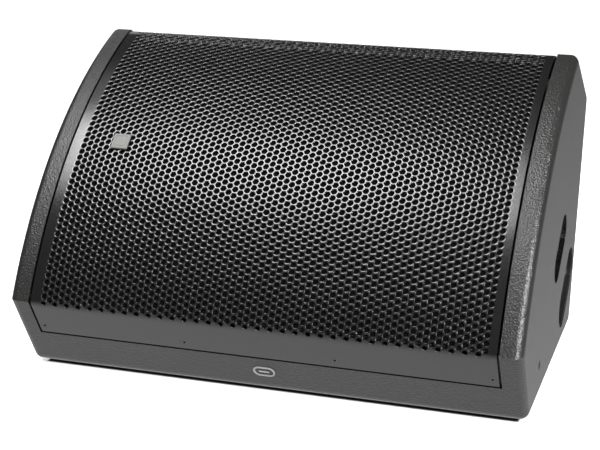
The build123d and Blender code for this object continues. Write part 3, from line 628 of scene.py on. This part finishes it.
def painted_gap_shade(f):
    """1 where shade is painted in: the sides' inner faces, the rebate and the pole recess, whose
    colour and roughness are cut.
    """
    x, y, z = f.axes()
    from_middle = f.math("ABSOLUTE", x)
    inner_face = f.between(from_middle, INNER_X - FACE_TOLERANCE, INNER_X + FACE_TOLERANCE)
    run, rise = f.math("SUBTRACT", y, FOLD[0] / 1000), f.math("SUBTRACT", z, FOLD[1] / 1000)
    out, down = unit(FLANGE_NORMAL), unit(FLANGE_NORMAL + math.pi / 2)
    height, along = (
        f.math("ADD", f.math("MULTIPLY", run, float(a)), f.math("MULTIPLY", rise, float(b)))
        for a, b in (out, down)
    )
    under_grille = f.between(height, *REBATE_HEIGHTS)
    rebate = f.math("MULTIPLY", under_grille, f.between(along, 0.0, REBATE_RUN))
    rebate = f.math("MULTIPLY", rebate, f.math("LESS_THAN", from_middle, INNER_X + EDGE_MARGIN))
    reach = [f.math("POWER", f.math("SUBTRACT", a, c), 2.0) for a, c in zip((y, z), POLE_CENTRE)]
    recess = f.math("LESS_THAN", f.math("ADD", *reach), POLE_REACH**2)
    recess = f.math("MULTIPLY", recess, f.between(x, INNER_X, OUTER_X - EDGE_MARGIN))
    return f.math("MAXIMUM", f.math("MAXIMUM", inner_face, rebate), recess)


def birch_ply():
    """Stained plywood with its layers and a stretched grain."""
    f = Finish("birch_ply", (0.05, 0.043, 0.036), 0.7)
    grain = f.noise(60, 6.0, f.stretched((1.0, 9.0, 9.0)))
    return f.tint(grain, 0.6, 1.4).shine(grain, 0.1).relief((grain, 0.0004, 0.4))


def grille_coat():
    """Semi-gloss powder coat on steel."""
    f = Finish("grille_coat", (0.0048, 0.0048, 0.0047), 0.19, specular=0.54)
    powder, cloud = f.noise(1900, 1.5), f.noise(14, 3.0)
    return f.tint(cloud, 0.94, 1.06).shine(powder, 0.05).relief((powder, 0.00012, 0.35))


def foam_black():
    f = Finish("grille_foam", (0.002, 0.002, 0.002), 0.95, specular=0.0)
    pores = f.cells(900)
    return f.tint(pores, 0.5, 1.5).relief((pores, 0.0008, 0.8))


def foam_tape():
    f = Finish("foam_tape", (0.012, 0.012, 0.012), 0.9, specular=0.2)
    pores = f.cells(1600)
    return f.tint(pores, 0.7, 1.4).relief((pores, 0.0003, 0.6))


def plated(name, colour, roughness):
    """Plated or oxidised metal with a faint mottle."""
    f = Finish(name, colour, roughness, metallic=1.0)
    mottle, scratch = f.noise(220, 4.0), f.noise(1800, 2.0)
    return f.tint(mottle, 0.8, 1.15).shine(scratch, 0.08).relief((scratch, 0.00004, 0.4))


def coated(name, colour, roughness, grain=1500):
    """Painted or powder-coated metal."""
    f = Finish(name, colour, roughness)
    powder, cloud = f.noise(grain, 2.0), f.noise(40, 3.0)
    return f.tint(cloud, 0.85, 1.15).shine(powder, 0.06).relief((powder, 0.0001, 0.4))


def moulded(name, colour, roughness, grain=1100):
    """Moulded plastic with a spark-eroded texture."""
    f = Finish(name, colour, roughness)
    pebble, cloud = f.cells(grain), f.noise(30, 3.0)
    return f.tint(cloud, 0.9, 1.1).shine(cloud, 0.05).relief((pebble, 0.00012, 0.45))


def rubber(name, colour, roughness=0.62):
    f = Finish(name, colour, roughness, specular=0.35)
    dust, pits = f.noise(60, 5.0), f.noise(1300, 2.0)
    return f.tint(dust, 0.8, 1.3).shine(dust, 0.08).relief((pits, 0.00012, 0.4))


def paper_cone():
    """Pressed pulp with short fibres."""
    f = Finish("paper_cone", (0.02, 0.02, 0.02), 0.85, specular=0.2)
    fibre, pulp = f.noise(700, 6.0), f.noise(90, 4.0)
    return f.tint(pulp, 0.75, 1.35).shine(fibre, 0.06).relief((fibre, 0.0004, 0.6))


def wound(name, colour):
    """Enamelled wire in close turns."""
    f = Finish(name, colour, 0.35, metallic=1.0)
    turns, cloud = f.bands(420, "Z", 0.3), f.noise(200, 3.0)
    return f.tint(cloud, 0.8, 1.2).shine(cloud, 0.08).relief((turns, 0.0004, 0.6))


def ceramic(name, colour, roughness=0.75):
    f = Finish(name, colour, roughness, specular=0.3)
    sinter, cloud = f.noise(900, 4.0), f.noise(70, 4.0)
    return f.tint(cloud, 0.85, 1.15).shine(sinter, 0.08).relief((sinter, 0.0002, 0.5))


def circuit_board():
    """Green lacquer over a faint glass weave."""
    f = Finish("board", (0.02, 0.09, 0.035), 0.35)
    weave, cloud = f.bands(300, "X"), f.noise(120, 3.0)
    return f.tint(cloud, 0.8, 1.2).shine(cloud, 0.06).relief((weave, 0.00008, 0.4))


def wadding_fibre():
    """Loose polyester fibre."""
    f = Finish("wadding", (0.55, 0.55, 0.53), 0.95, specular=0.1)
    f.shader.inputs["Sheen Weight"].default_value = 0.4
    strands, tufts = f.noise(500, 8.0, f.stretched((1.0, 0.25, 1.0))), f.noise(60, 4.0)
    return f.tint(strands, 0.75, 1.1).relief((tufts, 0.002, 0.5), (strands, 0.0008, 0.8))


def finishes():
    """Every material slot of the record, with its finish."""
    return {
        "cabinet_paint": cabinet_paint(),
        "birch_ply": birch_ply(),
        "grille_coat": grille_coat(),
        "grille_foam": foam_black(),
        "foam_tape": foam_tape(),
        "badge_metal": coated("badge_metal", (0.08, 0.0785, 0.075), 0.6, 700),
        "emblem_print": coated("emblem_print", (0.17, 0.17, 0.17), 0.5),
        "black_screw": plated("black_screw", (0.09, 0.09, 0.093), 0.34),
        "rubber": rubber("rubber", (0.016, 0.016, 0.016)),
        "cast_frame": coated("cast_frame", (0.05, 0.05, 0.052), 0.5, 600),
        "paper_cone": paper_cone(),
        "coil_former": wound("coil_former", (0.6, 0.3, 0.14)),
        "magnet_steel": plated("magnet_steel", (0.42, 0.43, 0.44), 0.35),
        "ferrite": ceramic("ferrite", (0.05, 0.05, 0.053)),
        "horn_plastic": moulded("horn_plastic", (0.02, 0.02, 0.02), 0.5),
        "diaphragm": plated("diaphragm", (0.55, 0.55, 0.58), 0.3),
        "dish_plastic": moulded("dish_plastic", (0.007, 0.007, 0.007), 0.27, 420),
        "socket_plastic": moulded("socket_plastic", (0.03, 0.03, 0.032), 0.3, 2200),
        "selector_knob": moulded("selector_knob", (0.3, 0.3, 0.31), 0.45, 1800),
        "cup_steel": coated("cup_steel", (0.01, 0.01, 0.0105), 0.32),
        "insert_steel": plated("insert_steel", (0.12, 0.12, 0.125), 0.4),
        "grip_rubber": rubber("grip_rubber", (0.022, 0.022, 0.022), 0.55),
        "board": circuit_board(),
        "standoff": plated("standoff", (0.72, 0.55, 0.25), 0.28),
        "copper": wound("copper", (0.75, 0.34, 0.16)),
        "capacitor_film": moulded("capacitor_film", (0.5, 0.09, 0.05), 0.3, 2500),
        "resistor_body": ceramic("resistor_body", (0.72, 0.71, 0.67), 0.85),
        "lead_pvc": rubber("lead_pvc", (0.22, 0.015, 0.015), 0.45),
        "wadding": wadding_fibre(),
    }


def paint_everything(new_pieces):
    """Gives each CAD node and each new piece the finish of its material slot."""
    made = finishes()
    for part in frame["record"]["subparts"]:
        data = NODES[part["node"]].data
        data.materials.clear()
        data.materials.append(made[part["material_slot"]].material)
    for name, slot in new_pieces.items():
        data = bpy.data.objects[name].data
        data.materials.clear()
        data.materials.append(made[slot].material)


# ---------------------------------------------------------------- stage, light and camera
def softbox(name, place, target, width, height, radiance):
    """Rectangular light of an even brightness, unseen by the camera."""
    light = bpy.data.lights.new(name, "AREA")
    light.shape = "RECTANGLE"
    light.size, light.size_y = width, height
    light.energy = radiance * math.pi * width * height
    lamp = add_object(name, light)
    lamp.location = place
    lamp.rotation_euler = (Vector(target) - Vector(place)).to_track_quat("-Z", "Y").to_euler()
    lamp.visible_camera = False


def studio():
    """The softboxes, and a room that is bright below and dark above."""
    for lamp in LAMPS:
        softbox(*lamp)
    world = bpy.data.worlds.new("room")
    bpy.context.scene.world = world
    world.use_nodes = True
    world.cycles.sampling_method = "NONE"
    tree = world.node_tree
    place = tree.nodes.new("ShaderNodeTexCoord")
    split = tree.nodes.new("ShaderNodeSeparateXYZ")
    spread = tree.nodes.new("ShaderNodeMapRange")
    spread.inputs["From Min"].default_value = -1.0
    ramp = tree.nodes.new("ShaderNodeValToRGB")
    while len(ramp.color_ramp.elements) < len(ROOM_STOPS):
        ramp.color_ramp.elements.new(0.5)
    for element, (height, value) in zip(ramp.color_ramp.elements, ROOM_STOPS):
        element.position = (height + 1) / 2
        element.color = (value, value, value, 1)
    background = tree.nodes["Background"]
    background.inputs["Strength"].default_value = ROOM_STRENGTH
    tree.links.new(place.outputs["Generated"], split.inputs["Vector"])
    tree.links.new(split.outputs["Z"], spread.inputs["Value"])
    tree.links.new(spread.outputs["Result"], ramp.inputs["Fac"])
    tree.links.new(ramp.outputs["Color"], background.inputs["Color"])


def painted_floor_shadow(f):
    """1 on the floor under the cabinet, where a shadow is painted: its glow is left out and its
    colour darkened, with a soft edge.
    """
    x, y, _ = f.axes()
    from_side = f.math("SUBTRACT", SHADE_HALF_WIDTH, f.math("ABSOLUTE", x))
    from_front, from_back = f.math("SUBTRACT", y, SHADE_FRONT), f.math("SUBTRACT", SHADE_BACK, y)
    nearest = f.math("MINIMUM", f.math("MINIMUM", from_front, from_back), from_side)
    return f.math("MINIMUM", f.math("MAXIMUM", f.math("DIVIDE", nearest, SHADE_EDGE), 0.0), 1.0)


def floor():
    """Large pale floor that glows, with a painted shadow under the cabinet where its glow is left
    out and its colour darkened.
    """
    mesh = bpy.data.meshes.new("floor")
    ways = ((-1, -1), (1, -1), (1, 1), (-1, 1))
    corners = [(FLOOR_REACH * x, FLOOR_REACH * y, 0) for x, y in ways]
    mesh.from_pydata(corners, [], [(0, 1, 2, 3)])
    ground = add_object("floor", mesh)
    f = Finish("floor", (0.7, 0.7, 0.7), 0.9, specular=0.1)
    f.shader.inputs["Emission Color"].default_value = (1, 1, 1, 1)
    f.tint(f.noise(3, 2.0), 0.99, 1.01).shine(f.noise(40, 2.0), 0.02)
    # painted shadow under the cabinet: its glow is cut and its colour scaled down
    shade = painted_floor_shadow(f)
    f.darken(shade, SHADE_COLOUR_SHARE, 1.0)
    glow = f.math("MULTIPLY", f.math("SUBTRACT", 1.0, shade), FLOOR_GLOW)
    f.link(glow, f.shader, "Emission Strength")
    mesh.materials.append(f.material)
    ground.visible_glossy = False


def backdrop():
    """White half sphere round the scene, seen by the camera only, so it lights nothing."""
    sides, rings = DOME_SIDES, DOME_RINGS
    vertices, faces = [], []
    for r in range(rings + 1):
        rise = math.pi / 2 * r / rings
        reach = DOME_RADIUS * max(math.cos(rise), 1e-3)
        z = DOME_RADIUS * math.sin(rise) - DOME_DROP
        for s in range(sides):
            turn = 2 * math.pi * s / sides
            vertices.append((reach * math.cos(turn), reach * math.sin(turn), z))
    for r in range(rings):
        for s in range(sides):
            a, b = r * sides + s, r * sides + (s + 1) % sides
            faces.append((a, b, b + sides, a + sides))
    mesh = bpy.data.meshes.new("backdrop")
    mesh.from_pydata(vertices, [], faces)
    dome = add_object("backdrop", mesh)
    f = Finish("backdrop", (0.8, 0.8, 0.8), 0.9, specular=0.0)
    f.shader.inputs["Emission Color"].default_value = (1, 1, 1, 1)
    f.shader.inputs["Emission Strength"].default_value = 1.0
    mesh.materials.append(f.material)
    for seen_by in ("diffuse", "glossy", "transmission", "volume_scatter", "shadow"):
        setattr(dome, "visible_" + seen_by, False)


def camera():
    """Camera above and to the right of the front, at the photograph's angle."""
    low, high = (Vector(corner) for corner in CAD_BOX)
    level = Vector((math.cos(VIEW_YAW), math.sin(VIEW_YAW), 0))
    forward = Vector((-math.sin(VIEW_YAW) * math.cos(VIEW_PITCH),
                      math.cos(VIEW_YAW) * math.cos(VIEW_PITCH),
                      -math.sin(VIEW_PITCH)))
    down = forward.cross(level)
    right = math.cos(VIEW_ROLL) * level + math.sin(VIEW_ROLL) * down
    up = math.sin(VIEW_ROLL) * level - math.cos(VIEW_ROLL) * down
    data = bpy.data.cameras.new("camera")
    data.sensor_width = SENSOR_WIDTH
    data.lens = VIEW_LENS
    eye = add_object("camera", data)
    turn = Matrix((right, up, -forward)).transposed().to_4x4()
    eye.matrix_world = Matrix.Translation((low + high) / 2 + Vector(VIEW_PLACE)) @ turn
    bpy.context.scene.camera = eye
    bpy.context.scene.view_settings.view_transform = "Standard"


# ---------------------------------------------------------------- putting it together
camera()
studio()
floor()
backdrop()
grille()
foam()
grip()
wadding()
paint_everything({
    "grille_perforated": "grille_coat",
    "grille_foam_sheet": "grille_foam",
    "handle_grip": "grip_rubber",
    "wadding_pads": "wadding",
})
